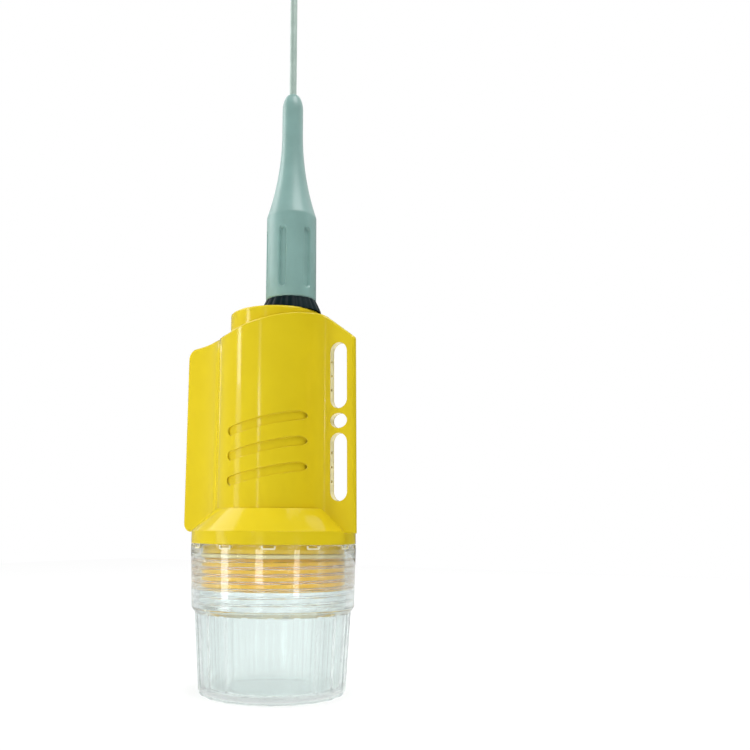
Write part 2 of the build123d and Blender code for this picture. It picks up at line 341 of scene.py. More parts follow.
def housing_abs(dark, light, neck, neck_top_z):
    """Glossy moulded ABS that deepens to amber on the neck, where the wall is thick and shaded:
    partly its own deeper colour, partly painted shade.
    """
    material, tree, place = new_material("moulded_abs_housing")
    parts = add_node(tree, "ShaderNodeSeparateXYZ", None, {"Vector": place})
    share = add_node(
        tree, "ShaderNodeMapRange",
        {"From Min": neck_top_z - amber_fade, "From Max": neck_top_z + amber_fade},
        {"Value": parts.outputs["Z"]},
    )
    shell = mottled(tree, place, dark, light, size_mm=35.0)
    edges = soft_edges(tree, radius_mm=0.6)
    colour = add_node(
        tree, "ShaderNodeMixRGB", {"Color1": neck},
        {"Fac": share.outputs["Result"], "Color2": shell},
    )
    body = add_node(
        tree, "ShaderNodeBsdfPrincipled",
        {"Roughness": 0.16, "IOR": 1.5, "Specular IOR Level": 0.25},
        {
            "Base Color": colour.outputs["Color"],
            "Normal": noise_bump(tree, place, size_mm=22.0, height_mm=0.02, below=edges),
        },
    )
    return finished(material, body.outputs["BSDF"])


def moulded_rubber(name, dark, light, roughness, grain_mm=1.2, sheen=0.1, gloss=0.5):
    """Moulded rubber: even colour, soft wide highlight and a fine spark-eroded grain."""
    material, tree, place = new_material(name)
    body = add_node(
        tree, "ShaderNodeBsdfPrincipled",
        {
            "Roughness": roughness, "IOR": 1.52, "Specular IOR Level": gloss,
            "Sheen Weight": sheen,
        },
        {
            "Base Color": mottled(tree, place, dark, light, size_mm=12.0),
            "Normal": noise_bump(tree, place, size_mm=grain_mm, height_mm=0.02),
        },
    )
    return finished(material, body.outputs["BSDF"])


def satin_plastic(name, dark, light, roughness=0.45, metal=0.0):
    """Satin moulded plastic with a fine even texture; a thin sleeve lets some metal through."""
    material, tree, place = new_material(name)
    body = add_node(
        tree, "ShaderNodeBsdfPrincipled",
        {"Roughness": roughness, "IOR": 1.5, "Metallic": metal},
        {
            "Base Color": mottled(tree, place, dark, light, size_mm=8.0),
            "Normal": noise_bump(tree, place, size_mm=0.8, height_mm=0.01),
        },
    )
    return finished(material, body.outputs["BSDF"])


tool_ring_gap = 0.2 * MM


def stainless_steel(name, colour, roughness=0.3):
    """Turned stainless steel: metal with the fine rings that the cutting tool leaves."""
    material, tree, place = new_material(name)
    rings = add_node(
        tree, "ShaderNodeTexWave",
        {
            "wave_type": "BANDS", "bands_direction": "Z",
            "Scale": 1 / tool_ring_gap / TURN, "Distortion": 0.4,
        },
        {"Vector": place},
    )
    bump = add_node(
        tree, "ShaderNodeBump", {"Strength": 0.3, "Distance": 0.01 * MM},
        {"Height": rings.outputs["Fac"]},
    )
    body = add_node(
        tree, "ShaderNodeBsdfPrincipled",
        {"Base Color": colour, "Metallic": 1.0, "Roughness": roughness},
        {"Normal": bump.outputs["Normal"]},
    )
    return finished(material, body.outputs["BSDF"])


def lamp_lens_acrylic(dark, light):
    """Moulded acrylic lens: glossy, lets a third of the light in, with faint waves of the mould."""
    material, tree, place = new_material("tinted_acrylic_lens")
    body = add_node(
        tree, "ShaderNodeBsdfPrincipled",
        {"Roughness": 0.12, "IOR": 1.49, "Transmission Weight": 0.35},
        {
            "Base Color": mottled(tree, place, dark, light, size_mm=2.0),
            "Normal": noise_bump(tree, place, size_mm=1.0, height_mm=0.02),
        },
    )
    return finished(material, body.outputs["BSDF"])


# Settings that a user would change


def number_setting(label, note, default, **kind):
    """A number that a user can change, of a kind such as an angle."""
    return bpy.props.FloatProperty(name=label, description=note, default=default, **kind)


def count_setting(label, note, default):
    """A whole number that a user can change."""
    return bpy.props.IntProperty(name=label, description=note, default=default)


def length_setting(label, note, default):
    """A length in metres that a user can change."""
    return number_setting(label, note, default, unit="LENGTH", precision=4)


def colour_setting(label, note, code):
    """A colour that a user can change, with an sRGB hex code as its default."""
    return bpy.props.FloatVectorProperty(
        name=label, description=note, default=linear(code), subtype="COLOR",
    )


class ClearCupSettings(bpy.types.PropertyGroup):
    """Sizes and tint of the clear cup."""

    base_radius: length_setting("Base Radius", "Radius of the grip at the floor", 41.4 * MM)
    waist_radius: length_setting(
        "Waist Radius", "Radius of the grip just under the band", 44.6 * MM,
    )
    grip_height: length_setting("Grip Height", "Height of the tapering grip", 44.5 * MM)
    wall: length_setting("Wall", "Wall thickness of the grip", 3.0 * MM)
    bore: length_setting("Bore", "Radius of the threaded bore at the root of the thread", 42.0 * MM)
    flutes: count_setting("Flutes", "Number of grip flutes", 20)
    flute_width: length_setting("Flute Width", "Width of one flute", 9.4 * MM)
    flute_depth: length_setting("Flute Depth", "Depth of one flute at its middle", 0.7 * MM)
    notches: count_setting("Notches", "Number of notches in the top rim", 12)
    tint: colour_setting("Tint", "Body colour of the clear plastic", "F1F7F6")


class ThreadSettings(bpy.types.PropertyGroup):
    """Sizes of the screw thread that joins neck and cup."""

    pitch: length_setting("Pitch", "Rise of the thread in one turn", 3.8 * MM)
    neck_crest: length_setting("Neck Crest", "Radius of the neck over its thread", 41.2 * MM)
    neck_root: length_setting("Neck Root", "Radius of the neck between its ridges", 39.6 * MM)
    cup_crest: length_setting("Cup Crest", "Radius inside the cup's ridges", 41.3 * MM)
    neck_colour: colour_setting("Neck Colour", "Colour of the threaded neck", "FCC41C")


class ShellSettings(bpy.types.PropertyGroup):
    """Colours of the yellow mouldings."""

    colour: colour_setting("Yellow", "Main colour of the jacket", "E7CF22")
    shade: colour_setting("Yellow Shade", "Deeper shade that drifts through the jacket", "E4CB20")
    # A pale colour that paints a highlight on the walls of the tie slots
    slot_wall_highlight: colour_setting("Slot Wall Highlight", "Pale painted highlight on the walls of the tie slots", "FBF3C4")


class AntennaSettings(bpy.types.PropertyGroup):
    """Sizes and colours of gasket, boot and whip."""

    grip_radius: length_setting(
        "Grip Radius", "Radius of the boot's fluted grip at its foot", 15.2 * MM,
    )
    grip_height: length_setting("Grip Height", "Height of the boot's fluted grip", 51.7 * MM)
    flutes: count_setting("Boot Flutes", "Number of flutes round the grip", 6)
    flute_width: length_setting("Boot Flute Width", "Width of one boot flute", 4.8 * MM)
    flute_depth: length_setting("Boot Flute Depth", "Depth of one boot flute", 1.7 * MM)
    ribs: count_setting("Gasket Ribs", "Number of ribs round the gasket", 20)
    boot_light: colour_setting("Boot Light", "Lighter shade of the boot", "8DB4AE")
    boot_dark: colour_setting("Boot Dark", "Deeper shade of the boot", "87ADA7")


class StudioSettings(bpy.types.PropertyGroup):
    """Camera and light levels."""

    focal_length: number_setting("Focal Length", "Lens of the camera, in millimetres", 40.8)
    azimuth: number_setting(
        "Azimuth", "How far the camera stands round to the slotted fin",
        radians(31.4), subtype="ANGLE",
    )
    pitch: number_setting("Pitch", "How far the camera looks up", radians(10.2), subtype="ANGLE")
    roll: number_setting(
        "Roll", "Turn of the camera about its own axis", radians(0.4), subtype="ANGLE",
    )
    shift: number_setting("Shift", "Sideways lens shift, in image widths", 0.092)
    place: bpy.props.FloatVectorProperty(
        name="Camera Place", description="Where the camera stands", subtype="TRANSLATION",
        default=(0.2780, -0.4208, 0.0913), unit="LENGTH",
    )
    dome_level: number_setting("Dome Level", "Strength of the even light from all sides", 0.21)
    dome_drift: number_setting("Dome Drift", "How much stronger it is from the left", 0.18)
    lamp_level: number_setting("Lamp Level", "Factor on the brightness of all soft lamps", 1.0)


class SceneSettings(bpy.types.PropertyGroup):
    """All settings of the beacon's dressing."""

    cup: bpy.props.PointerProperty(type=ClearCupSettings)
    thread: bpy.props.PointerProperty(type=ThreadSettings)
    shell: bpy.props.PointerProperty(type=ShellSettings)
    antenna: bpy.props.PointerProperty(type=AntennaSettings)
    studio: bpy.props.PointerProperty(type=StudioSettings)


def settings():
    """The dressing's settings in the current scene."""
    return bpy.context.scene.net_beacon


# Clear cup


cup_columns = 480
cup_floor_t = 3.8 * MM
cup_edge_r = 2.5 * MM
cup_corner_r = 3.0 * MM
# Shoulder under the band, with how far its slope starts and ends from its two corners
band_low_r = 46.6 * MM
shoulder_h = 2.9 * MM
slope_start_out, slope_start_up = 0.25 * MM, 0.4 * MM
slope_end_in, slope_end_down = 0.3 * MM, 0.5 * MM
band_foot_r = 0.8 * MM
band_foot_up = 0.35 * MM
band_foot_lean = 40
band_run_up = 1.5 * MM
# Rim and bore, with how far each run starts or ends from its corner
rim_round = 0.4 * MM
rim_inset = 0.3 * MM
land_down = 1.2 * MM
land_foot_up = 0.6 * MM
bore_foot_r = 0.6 * MM
bore_foot_up = 0.2 * MM
bore_foot_lean = 50
waist_out, waist_up, waist_down = 0.15 * MM, 0.3 * MM, 0.4 * MM
wall_down = 0.6 * MM
# Flutes of the grip
flute_ledge = 0.4 * MM
flute_side = 0.7 * MM
flute_start = radians(4.9)
# Notches of the rim; the rows at their foot are in steps of their side
notch_w = 6.6 * MM
notch_h = 2.3 * MM
notch_depth = 1.2 * MM
notch_side = 0.5 * MM
notch_gap = 0.2 * MM
notch_margin = 1 * MM
notch_foot_steps = (0, 0.5, 1, 1.6)
# Inner thread; crest, flank and run-out are shares of the pitch
thread_foot_z = 47.4 * MM
thread_head_z = 75.0 * MM
thread_rows = 14
cup_crest_share, cup_flank_share, cup_run_out = 0.08, 0.18, 0.6


def flute_cut(angles, radius, height, cup):
    """Radius of the grip after its flutes are cut.

    Inside a flute the surface is a flat, so the radius is the flat's distance from the axis
    over the cosine of the angle from the flute's middle. It eases back to the round grip over
    the flute's side and over the ledge at its top.
    """
    away = np.abs(round_distance(angles, cup.flutes, flute_start))
    flat = (radius - cup.flute_depth) / np.cos(away)
    half = cup.flute_width / 2 / cup.waist_radius
    inside = 1 - smooth_step(away, half, half + flute_side / cup.waist_radius)
    below = 1 - smooth_step(height, cup.grip_height - flute_ledge, cup.grip_height)
    return radius - np.maximum(radius - flat, 0) * inside * below


def notch_cut(angles, radius, height, cup):
    """Radius of the rim after its notches are cut: a shallow step in, open at the top."""
    away = np.abs(round_distance(angles, cup.notches, 0.0))
    half = notch_w / 2 / band_r
    inside = 1 - smooth_step(away, half, half + notch_side / band_r)
    foot = cup_top_z - notch_h
    above = smooth_step(height, foot, foot + notch_side)
    floor = band_r - notch_depth
    return radius - np.maximum(radius - floor, 0) * inside * above


def clear_cup_points(cup, thread):
    """Closed skin of the cup: from the middle of its foot up outside, over the rim, down inside.

    Each row is a circle of a profile of runs and arcs. The outer rows are cut by flutes and
    notches, and the rows of the bore carry the thread: bore radius less ridge height.
    """
    waist_r, waist_z = cup.waist_radius, cup.grip_height
    band_foot_z = waist_z + shoulder_h
    slope = (waist_r - cup.base_radius) / waist_z
    foot_r = cup.base_radius + slope * cup_edge_r
    inner_foot_r = cup.base_radius + slope * (cup_floor_t + cup_corner_r) - cup.wall
    inner_waist_r = waist_r - cup.wall
    ledge = 2 * flute_ledge
    outer = np.concatenate([
        run_rows((0, 0), (foot_r - cup_edge_r, 0), 4),
        arc_rows(foot_r - cup_edge_r, cup_edge_r, cup_edge_r, -90, 0, 9)[1:],
        run_rows((foot_r, cup_edge_r), (waist_r - slope * ledge, waist_z - ledge), 15)[1:],
        run_rows((waist_r - slope * ledge / 2, waist_z - ledge / 2), (waist_r, waist_z), 3),
        run_rows((waist_r + slope_start_out, waist_z + slope_start_up),
                 (band_low_r - slope_end_in, band_foot_z - slope_end_down), 3),
        arc_rows(band_low_r - band_foot_r, band_foot_z + band_foot_up, band_foot_r,
                 -band_foot_lean, 0, 4),
        run_rows((band_low_r, band_foot_z + band_run_up),
                 (band_r, cup_top_z - notch_h - notch_gap), 10),
        [(band_r, cup_top_z - notch_h + step * notch_side) for step in notch_foot_steps],
        run_rows((band_r, cup_top_z - notch_h / 2), (band_r, cup_top_z - 2 * rim_round), 2),
        arc_rows(band_r - rim_round, cup_top_z - rim_round, rim_round, 0, 90, 5),
    ])
    rim = run_rows((band_r - notch_depth - rim_inset, cup_top_z),
                   (cup.bore + rim_round, cup_top_z), 3)
    lip = arc_rows(cup.bore + rim_round, cup_top_z - rim_round, rim_round, 90, 180, 5)[1:]
    land = run_rows((cup.bore, cup_top_z - land_down), (cup.bore, thread_head_z + land_foot_up), 4)
    count = int(round((thread_head_z - thread_foot_z) / thread.pitch * thread_rows))
    bore = run_rows((cup.bore, thread_head_z), (cup.bore, thread_foot_z), count)
    inner = np.concatenate([
        arc_rows(cup.bore - bore_foot_r, band_foot_z + bore_foot_up, bore_foot_r,
                 0, -bore_foot_lean, 4),
        run_rows((inner_waist_r + waist_out, waist_z + waist_up),
                 (inner_waist_r, waist_z - waist_down), 3),
        run_rows((inner_waist_r, waist_z - wall_down),
                 (inner_foot_r, cup_floor_t + cup_corner_r), 12),
        arc_rows(inner_foot_r - cup_corner_r, cup_floor_t + cup_corner_r, cup_corner_r,
                 0, -90, 9)[1:],
        run_rows((inner_foot_r - 2 * cup_corner_r, cup_floor_t), (0, cup_floor_t), 4),
    ])
    angles = even_angles(cup_columns)
    rows = np.concatenate([outer, rim, lip, land, bore, inner])
    radius, height = round_the_axis(rows, angles)
    is_outside = np.arange(len(rows))[:, None] < len(outer)
    grip = (height < waist_z + shoulder_h) & is_outside
    radius = np.where(grip, flute_cut(angles, radius, height, cup), radius)
    upper = (height > cup_top_z - notch_h - notch_margin) & is_outside
    radius = np.where(upper, notch_cut(angles, radius, height, cup), radius)
    first = len(outer) + len(rim) + len(lip) + len(land)
    in_bore = slice(first, first + len(bore))
    run_out = thread.pitch * cup_run_out
    ends = smooth_step(height[in_bore], thread_foot_z, thread_foot_z + run_out)
    ends *= 1 - smooth_step(height[in_bore], thread_head_z - run_out, thread_head_z)
    ridge = thread_ridge(
        angles, height[in_bore], thread.pitch, neck_foot_z + thread.pitch / 2,
        cup_crest_share, cup_flank_share,
    )
    radius[in_bore] -= (cup.bore - thread.cup_crest) * ridge * ends
    return turned(radius, height, angles)


class NETBEACON_OT_clear_cup(bpy.types.Operator):
    """Make the clear cup with its flutes, notches and inner thread"""

    bl_idname = "net_beacon.clear_cup"
    bl_label = "Clear Cup"

    def execute(self, context):
        cup = settings().cup
        points = clear_cup_points(cup, settings().thread)
        piece = grid_piece("clear_cup_body", points, sharp_above=35)
        wear(piece, clear_polycarbonate(tuple(cup.tint)))
        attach(piece, "cup")
        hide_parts("clear_cup")
        return {"FINISHED"}


notch_edge_t = 0.8 * MM
notch_edge_up = 0.2 * MM
notch_edge_sink = 0.03 * MM
notch_corner_r = 0.9 * MM


def notch_edge_points(middle):
    """One thin frame round a notch: down its left side, along its foot and up its right side.

    The path is laid out flat as arc length and height and then bent round the band. The
    section is a rectangle, as deep as the notch, and closes to a point at both ends.
    """
    half, foot, top = notch_w / 2 + notch_side, cup_top_z - notch_h, cup_top_z - rim_round
    centre_s, centre_z = half - notch_corner_r, foot + notch_corner_r
    loops = []
    for inset in (0.0, notch_edge_t):
        corner = notch_corner_r - inset
        loops.append(np.concatenate([
            run_rows((-half + inset, top), (-half + inset, centre_z + notch_edge_up), 2),
            arc_rows(-centre_s, centre_z, corner, 180, 270, 7),
            arc_rows(centre_s, centre_z, corner, 270, 360, 7),
            run_rows((half - inset, centre_z + notch_edge_up), (half - inset, top), 2),
        ]))
    outside, inside = loops
    path = np.stack([outside, outside, inside, inside], axis=1)
    reach = np.array([band_r, band_r - notch_depth, band_r - notch_depth, band_r]) - notch_edge_sink
    angles = middle + path[:, :, 0] / band_r
    points = np.stack([reach * np.cos(angles), reach * np.sin(angles), path[:, :, 1]], axis=-1)
    ends = [np.repeat(points[row].mean(axis=0)[None, None], 4, axis=1) for row in (0, -1)]
    return np.concatenate([ends[0], points, ends[1]])


class NETBEACON_OT_notch_edges(bpy.types.Operator):
    """Make the pale edges that frame the notches of the cup's rim: a painted highlight"""

    bl_idname = "net_beacon.notch_edges"
    bl_label = "Notch Edges"

    def execute(self, context):
        # Pale satin frames stand in for the bright edges of the clear notches: a painted highlight
        notch_highlight_paint = satin_plastic(
            "painted_notch_edge_highlight", linear("EFE6B4"), linear("FBF5D2"), roughness=0.4,
        )
        for number, middle in enumerate(even_angles(settings().cup.notches), start=1):
            points = notch_edge_points(middle)
            piece = grid_piece(f"notch_edge_{number:02d}", points, sharp_above=40)
            wear(piece, notch_highlight_paint)
            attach(piece, "cup")
        return {"FINISHED"}


# Threaded neck and seal


neck_columns = 360
neck_foot_gap = 0.3 * MM
neck_land_gap = 0.5 * MM
neck_core = 0.5 * MM
# Rows in one pitch, and crest, flank, run-in and run-out as shares of the pitch
neck_pitch_rows = 24
neck_crest_share, neck_flank_share = 0.56, 0.10
neck_run_in, neck_run_out = 0.5, 0.35


def neck_thread_points(thread):
    """Closed sleeve with the neck's thread: root radius plus ridge height, over a plain core.

    The ridge is that of the cup's thread with a wide flat crest, and eases out at both ends.
    """
    low, high = neck_foot_z + neck_foot_gap, seal_low.z - neck_land_gap
    count = int(round((high - low) / thread.pitch * neck_pitch_rows))
    angles = even_angles(neck_columns)
    height = np.repeat(np.linspace(low, high, count)[:, None], len(angles), axis=1)
    ends = smooth_step(height, low, low + thread.pitch * neck_run_in)
    ends *= 1 - smooth_step(height, high - thread.pitch * neck_run_out, high)
    ridge = thread_ridge(
        angles, height, thread.pitch, neck_foot_z, neck_crest_share, neck_flank_share,
    )
    radius = thread.neck_root + (thread.neck_crest - thread.neck_root) * ridge * ends
    core = np.full((1, len(angles)), thread.neck_root - neck_core)
    return turned(
        np.concatenate([core, radius, core, core]),
        np.concatenate([height[:1], height, height[-1:], height[:1]]), angles,
    )


class NETBEACON_OT_neck_thread(bpy.types.Operator):
    """Make the broad ridges of the neck's thread as a sleeve on the housing's neck"""

    bl_idname = "net_beacon.neck_thread"
    bl_label = "Neck Thread"

    def execute(self, context):
        thread = settings().thread
        piece = grid_piece("neck_thread", neck_thread_points(thread), sharp_above=50)
        wear(piece, glossy_abs(
            "moulded_abs_neck", linear("F7B81A"), tuple(thread.neck_colour), roughness=0.3,
        ))
        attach(piece, "shell")
        return {"FINISHED"}


seal_columns = 240
seal_rows = 33
# Parting line: its height, and its half width as an angle round the wire
parting_h = 0.03 * MM
parting_half = 0.12


def seal_ring_points():
    """Round wire bent to a ring: its section is a circle turned round the cup's axis.

    Outermost, a bell curve as high as the parting line is added to the wire's radius.
    """
    wire_r = (seal_high.z - seal_low.z) / 2
    ring_r = seal_high.x - wire_r
    middle_z = (seal_high.z + seal_low.z) / 2
    turn = np.linspace(0, TURN, seal_rows)
    parting = parting_h * np.exp(-((turn - pi) / parting_half) ** 2)
    radius = ring_r - (wire_r + parting) * np.cos(turn)
    height = middle_z - wire_r * np.sin(turn)
    return turned(radius, height, even_angles(seal_columns))


class NETBEACON_OT_seal_ring(bpy.types.Operator):
    """Make the soft seal ring with its fine parting line"""

    bl_idname = "net_beacon.seal_ring"
    bl_label = "Seal Ring"

    def execute(self, context):
        piece = grid_piece("seal_ring_soft", seal_ring_points())
        wear(piece, moulded_rubber(
            "silicone_seal", linear("F4DC96"), linear("F8E4AC"), roughness=0.4,
        ))
        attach(piece, "seal")
        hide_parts("seal_ring")
        return {"FINISHED"}


# Antenna


boot_columns = 240
boot_shoulder_r = 6.0 * MM
boot_sweep_r = 182.0 * MM
boot_lean = 17.5
boot_nose_h = 10.5 * MM
boot_nose_r = 2.3 * MM
boot_nose_gap = 1.4 * MM
boot_flute_low = 6.1 * MM
boot_flute_len = 37.6 * MM
boot_flute_first = radians(-78.5)
boot_flute_flat = 0.76
boot_foot_round = 0.6 * MM
boot_mouth_h = 2 * MM
boot_mouth_depth = 5 * MM
whip_grip = 0.3 * MM
nose_rows = 14


def boot_rows(antenna, foot_z, top_z):
    """Profile of the boot over its grip: round shoulder, long hollow sweep, neck and bullet nose.

    The shoulder is an arc that leans in by the lean angle. The sweep is an arc of the
    opposite bend that brings the profile upright again. The nose is a quarter of an ellipse.
    """
    shoulder = arc_rows(
        antenna.grip_radius - boot_shoulder_r, foot_z + antenna.grip_height, boot_shoulder_r,
        0, boot_lean, 10,
    )
    side = radians(boot_lean)
    centre = shoulder[-1] + boot_sweep_r * np.array([cos(side), sin(side)])
    sweep = arc_rows(*centre, boot_sweep_r, 180 + boot_lean, 180, 36)[1:]
    neck_r, neck_z = sweep[-1]
    nose_z = top_z - boot_nose_gap - boot_nose_h
    neck = run_rows((neck_r, neck_z), (neck_r, nose_z), 6)[1:]
    lift = np.linspace(0, 1, nose_rows)[1:] * pi / 2
    nose = np.stack([
        boot_nose_r + (neck_r - boot_nose_r) * np.cos(lift), nose_z + boot_nose_h * np.sin(lift),
    ], axis=-1)
    return np.concatenate([shoulder, sweep, neck, nose])


def boot_points(antenna):
    """Closed skin of the boot: foot, grip and upper profile turned round the whip, less flutes.

    A flute is a groove with round ends. A point's distance from the groove's middle line is
    taken in half widths: full depth as far as the flat share, then a cubic ease to the edge.
    """
    foot_z, top_z = boot_low.z, boot_high.z
    upper = boot_rows(antenna, foot_z, top_z)
    mouth_r = whip_r - whip_grip
    rows = np.concatenate([
        run_rows((0, foot_z), (antenna.grip_radius - boot_foot_round, foot_z), 3),
        run_rows((antenna.grip_radius, foot_z + boot_foot_round), upper[0], 70),
        upper[1:],
        [(mouth_r, top_z - boot_mouth_h), (mouth_r, top_z - boot_mouth_depth)],
        [(0, top_z - boot_mouth_depth)],
    ])
    angles = even_angles(boot_columns)
    radius, height = round_the_axis(rows, angles)
    half = antenna.flute_width / 2
    turn = round_distance(angles, antenna.flutes, boot_flute_first)
    across = np.abs(turn) * antenna.grip_radius
    low = foot_z + boot_flute_low + half
    high = foot_z + boot_flute_low + boot_flute_len - half
    beyond = np.maximum(low - height, 0) + np.maximum(height - high, 0)
    reach = np.sqrt(across ** 2 + beyond ** 2) / half
    hollow = 1 - smooth_step(reach, boot_flute_flat, 1.0)
    radius = radius - antenna.flute_depth * hollow * (radius > antenna.grip_radius / 2)
    return turned(radius, height, angles, antenna_x)


class NETBEACON_OT_antenna_boot(bpy.types.Operator):
    """Make the fluted boot that carries the whip"""

    bl_idname = "net_beacon.antenna_boot"
    bl_label = "Antenna Boot"

    def execute(self, context):
        antenna = settings().antenna
        piece = grid_piece("antenna_boot_skin", boot_points(antenna), sharp_above=50)
        wear(piece, moulded_rubber(
            "thermoplastic_rubber_boot", tuple(antenna.boot_dark), tuple(antenna.boot_light),
            roughness=0.32,
        ))
        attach(piece, "shell")
        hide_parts("antenna_boot")
        return {"FINISHED"}


gasket_rows = 12
rib_columns = 12
rib_depth = 0.5 * MM
rib_inner_share = 0.6
gasket_top_gap = 0.1 * MM
gasket_hollow = 1.15


def gasket_points(antenna):
    """Closed skin of the gasket: a slightly hollow side, turned round the whip, less its valleys.

    The side's radius goes with a power of the share of the height. A valley between two ribs
    goes with the square of half of one less the cosine of the angle times the number of ribs.
    """
    low_r, low_z = gasket_high.x - antenna_x, gasket_low.z
    top_r, top_z = antenna.grip_radius - gasket_top_gap, gasket_high.z
    share = np.linspace(0, 1, gasket_rows)
    side = np.stack([
        low_r + (top_r - low_r) * share ** gasket_hollow, low_z + (top_z - low_z) * share,
    ], axis=-1)
    rows = np.concatenate([
        [(0, low_z), (low_r / 2, low_z)], side, [(top_r / 2, top_z), (0, top_z)],
    ])
    angles = even_angles(antenna.ribs * rib_columns)
    radius, height = round_the_axis(rows, angles)
    valley = 0.5 - 0.5 * np.cos(angles * antenna.ribs)
    radius = radius - rib_depth * valley ** 2 * (radius > low_r * rib_inner_share)
    return turned(radius, height, angles, antenna_x)


class NETBEACON_OT_antenna_gasket(bpy.types.Operator):
    """Make the ribbed gasket under the boot"""

    bl_idname = "net_beacon.antenna_gasket"
    bl_label = "Antenna Gasket"

    def execute(self, context):
        points = gasket_points(settings().antenna)
        piece = grid_piece("antenna_gasket_ribbed", points, sharp_above=50)
        wear(piece, moulded_rubber(
            "epdm_gasket", linear("06141A"), linear("0C2024"),
            roughness=0.36, sheen=0.0, gloss=0.04,
        ))
        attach(piece, "shell")
        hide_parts("antenna_gasket")
        return {"FINISHED"}


whip_columns = 48
whip_end_edge = 0.3 * MM
cap_edge_r = 0.4 * MM
cap_mouth_share = 0.9


def whip_points():
    """Closed skin of the whip: a straight round rod with a small chamfer at its top."""
    foot_z, end_z = rod_low.z, rod_high.z
    rows = np.concatenate([
        [(0, foot_z)], run_rows((whip_r, foot_z), (whip_r, end_z - whip_end_edge), 40),
        [(whip_r - whip_end_edge, end_z), (0, end_z)],
    ])
    return turned(*rows.T, even_angles(whip_columns), antenna_x)


def whip_cap_points():
    """Skin of the end cap: a sleeve with a rounded foot and half a ball on top, open below."""
    cap_r = (tip_high.x - tip_low.x) / 2
    crown = arc_rows(0, tip_high.z - cap_r, cap_r, 0, 90, 12)
    rows = np.concatenate([
        [(whip_r * cap_mouth_share, tip_low.z)],
        arc_rows(cap_r - cap_edge_r, tip_low.z + cap_edge_r, cap_edge_r, -90, 0, 5),
        crown[:-1], [(0, tip_high.z)],
    ])
    return turned(*rows.T, even_angles(whip_columns), antenna_x)


class NETBEACON_OT_whip(bpy.types.Operator):
    """Make the whip and its moulded end cap"""

    bl_idname = "net_beacon.whip"
    bl_label = "Whip Antenna"

    def execute(self, context):
        whip = grid_piece("whip_sleeve", whip_points(), sharp_above=40)
        wear(whip, satin_plastic(
            "sleeved_steel_whip", linear("ABC1B7"), linear("B6CAC1"), roughness=0.4, metal=0.15,
        ))
        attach(whip, "shell")
        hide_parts("whip_rod")
        tip = grid_piece("whip_end_cap", whip_cap_points(), sharp_above=60)
        wear(tip, moulded_rubber(
            "vinyl_end_cap", linear("202424"), linear("2A2F2E"), roughness=0.4,
        ))
        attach(tip, "shell")
        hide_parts("whip_tip")
        return {"FINISHED"}


# Base plate


screw_columns = 32
screw_count = 3
screw_first = 45
screw_inset = 5 * MM
screw_sink = 0.2 * MM
screw_r, screw_h = 2.6 * MM, 1.5 * MM


def plate_screw_points(turn):
    """Closed skin of one screw: a low dome, a quarter of an ellipse turned round its axis."""
    lift = np.linspace(0, 1, 9) * pi / 2
    dome = np.stack([screw_r * np.cos(lift), plate_low.z - screw_h * np.sin(lift)], axis=-1)
    dome[-1, 0] = 0
    foot_z = plate_low.z + screw_sink
    rows = np.concatenate([[(0, foot_z), (screw_r, foot_z)], dome])
    circle_r = plate_high.x - screw_inset
    angles = even_angles(screw_columns)
    return turned(*rows.T, angles, circle_r * cos(turn), circle_r * sin(turn))[::-1]


class NETBEACON_OT_plate_screws(bpy.types.Operator):
    """Make the screws that hold the base plate"""

    bl_idname = "net_beacon.plate_screws"
    bl_label = "Plate Screws"

    def execute(self, context):
        steel = stainless_steel("turned_stainless_screw", linear("C9CACA"))
        for number in range(screw_count):
            turn = radians(screw_first + 360 / screw_count * number)
            points = plate_screw_points(turn)
            screw = grid_piece(f"plate_screw_{number + 1}", points, sharp_above=50)
            wear(screw, steel)
            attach(screw, "shell")
        return {"FINISHED"}


# Solids that stay in sight


class NETBEACON_OT_finishes(bpy.types.Operator):
    """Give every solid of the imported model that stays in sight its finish"""

    bl_idname = "net_beacon.finishes"
    bl_label = "Finishes"

    def execute(self, context):
        shell = settings().shell
        light, dark = tuple(shell.colour), tuple(shell.shade)
        finishes = {
            "fin_shell": glossy_abs(
                "glossy_abs_jacket", dark, light, roughness=0.12, edge_mm=0.5,
                slot_wall_highlight=tuple(shell.slot_wall_highlight),
            ),
            "inner_housing": housing_abs(dark, light, linear("FBCB0A"), cup_top_z),
            "base_plate": satin_plastic("satin_abs_plate", linear("E9DCB8"), linear("F0E6C8")),
            "charge_socket": satin_plastic(
                "glass_filled_nylon_socket", linear("C9C6BA"), linear("D2CFC4"), roughness=0.5,
            ),
            "power_button": moulded_rubber(
                "silicone_button", linear("D6D3C8"), linear("DEDBD1"), roughness=0.5,
            ),
            "status_lamp": lamp_lens_acrylic(linear("E4E2DA"), linear("EFEDE6")),
            "battery_block": satin_plastic(
                "shrink_wrap_battery", linear("1F4A86"), linear("2B5D9C"), roughness=0.3,
            ),
        }
        for name, material in finishes.items():
            wear(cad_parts[name], material)
        return {"FINISHED"}


# Studio


floor_size = 3.0
paper_white = 0.88
paper_glow = 1.06
# Share of glow in the paper's look, under the object and in the open, and where it changes
# The lower share under the object paints shade there, on top of the real shadow that the paper
# keeps
floor_lift_under_painted_shade, floor_lift_open = 0.35, 0.90
floor_fade_start, floor_fade_end = 0.030, 0.060
# Where the room's even light is strongest: left of the object, a little towards the camera
bright_side = (-0.94, -0.34, 0.0)
sensor_mm = 36.0
clip_near, clip_far = 0.01, 20.0


def seen_directly(tree, *kinds):
    """One where a ray of one of the given kinds looks at the surface, and zero elsewhere."""
    ray = add_node(tree, "ShaderNodeLightPath")
    seen = ray.outputs[kinds[0]]
    for kind in kinds[1:]:
        seen = add_node(
            tree, "ShaderNodeMath", {"operation": "MAXIMUM"}, {0: seen, 1: ray.outputs[kind]},
        ).outputs["Value"]
    return seen


